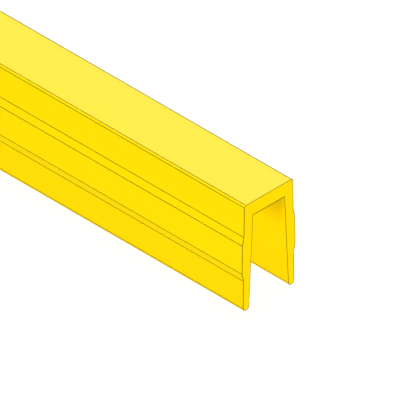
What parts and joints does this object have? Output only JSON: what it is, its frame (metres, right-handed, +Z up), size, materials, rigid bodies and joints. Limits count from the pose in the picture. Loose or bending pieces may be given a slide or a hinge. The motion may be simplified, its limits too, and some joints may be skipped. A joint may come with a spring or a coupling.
{
  "type": "cover profile strip",
  "caption": "Push-in cover strip: a U-shaped extrusion with barbed, tapering legs that snap into a framing profile's groove and close it flush.",
  "frame": {"origin": "under the middle of the strip, on the plane that its two feet stand on", "axes": "+X along the strip, +Y across it, +Z up out of the cover face"},
  "size_m": [0.5, 0.0088, 0.0149],
  "materials": {
    "strip_plastic": "satin, coloured through, with fine lines drawn along its length by the die"
  },
  "bodies": {
    "root": {"cover_strip": "strip_plastic"}
  },
  "joints": []
}
